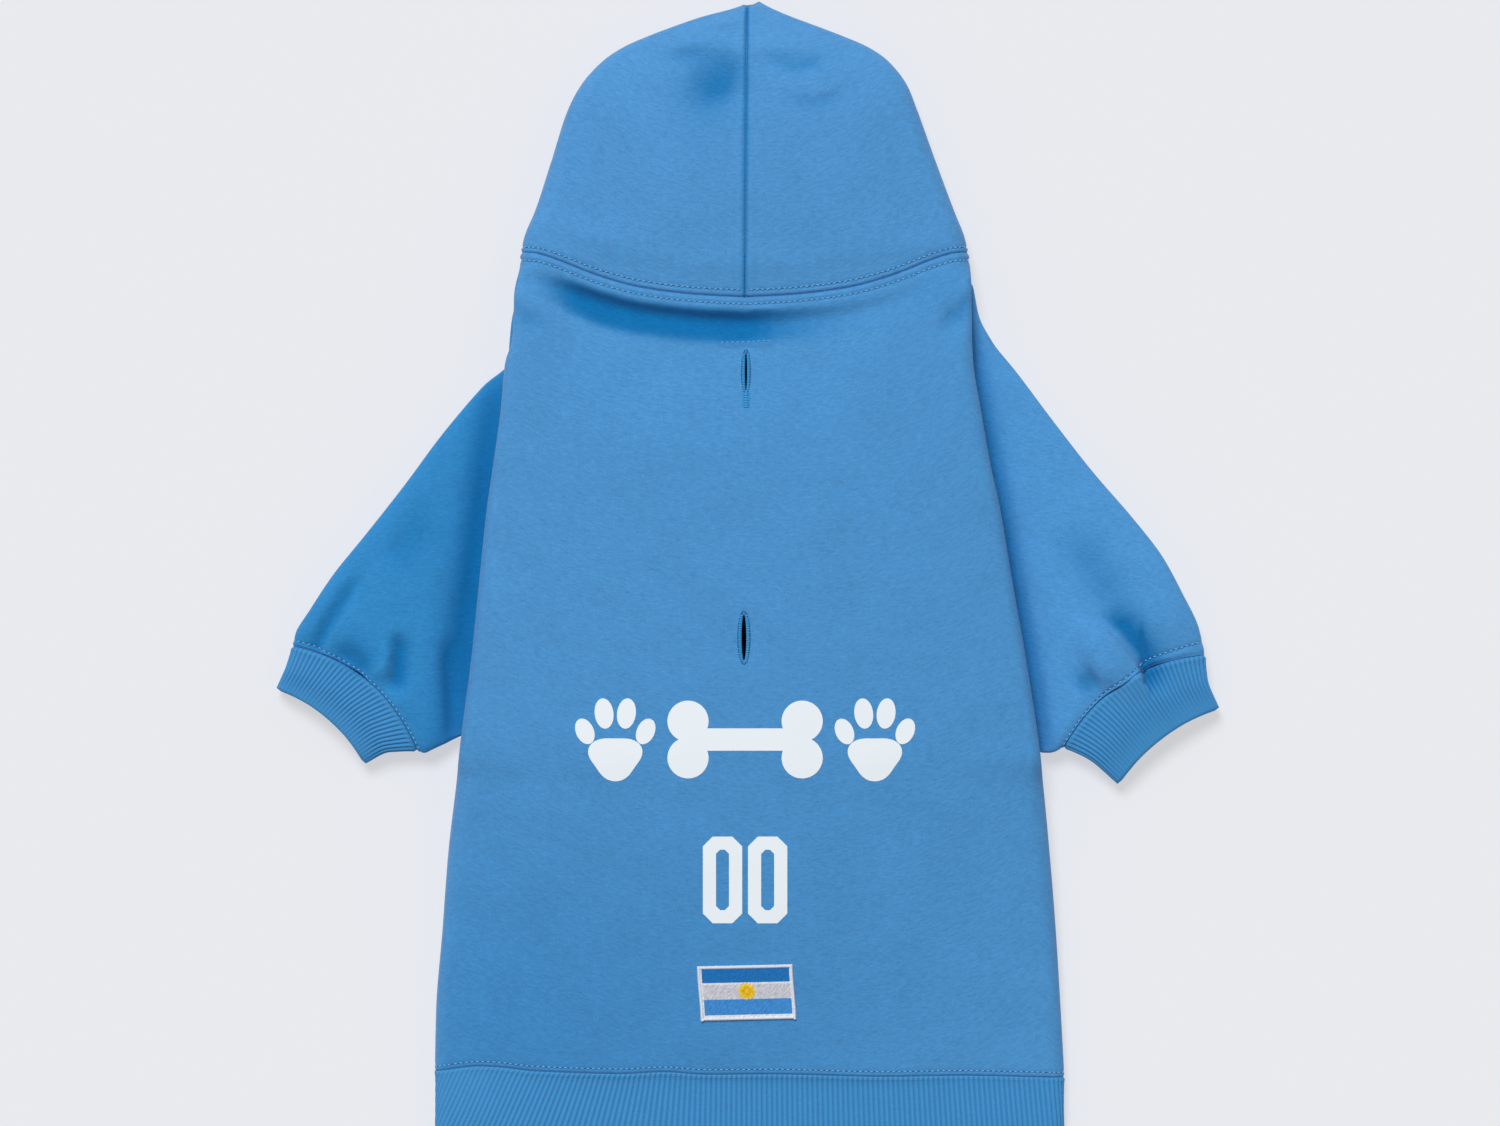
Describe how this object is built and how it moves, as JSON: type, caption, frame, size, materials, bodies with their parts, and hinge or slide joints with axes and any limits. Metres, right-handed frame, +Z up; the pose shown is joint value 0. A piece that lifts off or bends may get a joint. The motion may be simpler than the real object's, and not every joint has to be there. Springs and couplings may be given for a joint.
{
  "type": "dog hoodie",
  "caption": "Fleece dog hoodie laid flat on its belly: two-piece hood, short raglan sleeves with rib cuffs, rib hem band, two leash slits and a small back patch.",
  "frame": {"origin": "centre of the whole hoodie's box, on the flat plane that the belly lies on", "axes": "+Y from the hem towards the hood's peak, +X to the right of the garment seen from above its back, +Z up out of the back"},
  "size_m": [0.4248, 0.5184, 0.0361],
  "materials": {
    "fleece": "matte",
    "rib_knit": "matte",
    "patch_thread": "satin",
    "sewing_thread": "satin",
    "print_film": "matte"
  },
  "bodies": {
    "root": {"hood_left": "fleece", "hood_right": "fleece", "back_panel": "fleece", "belly_panel": "fleece", "sleeve_left": "fleece", "sleeve_right": "fleece", "cuff_left": "rib_knit", "cuff_right": "rib_knit", "hem_band": "rib_knit", "flag_patch": "patch_thread"}
  },
  "joints": []
}
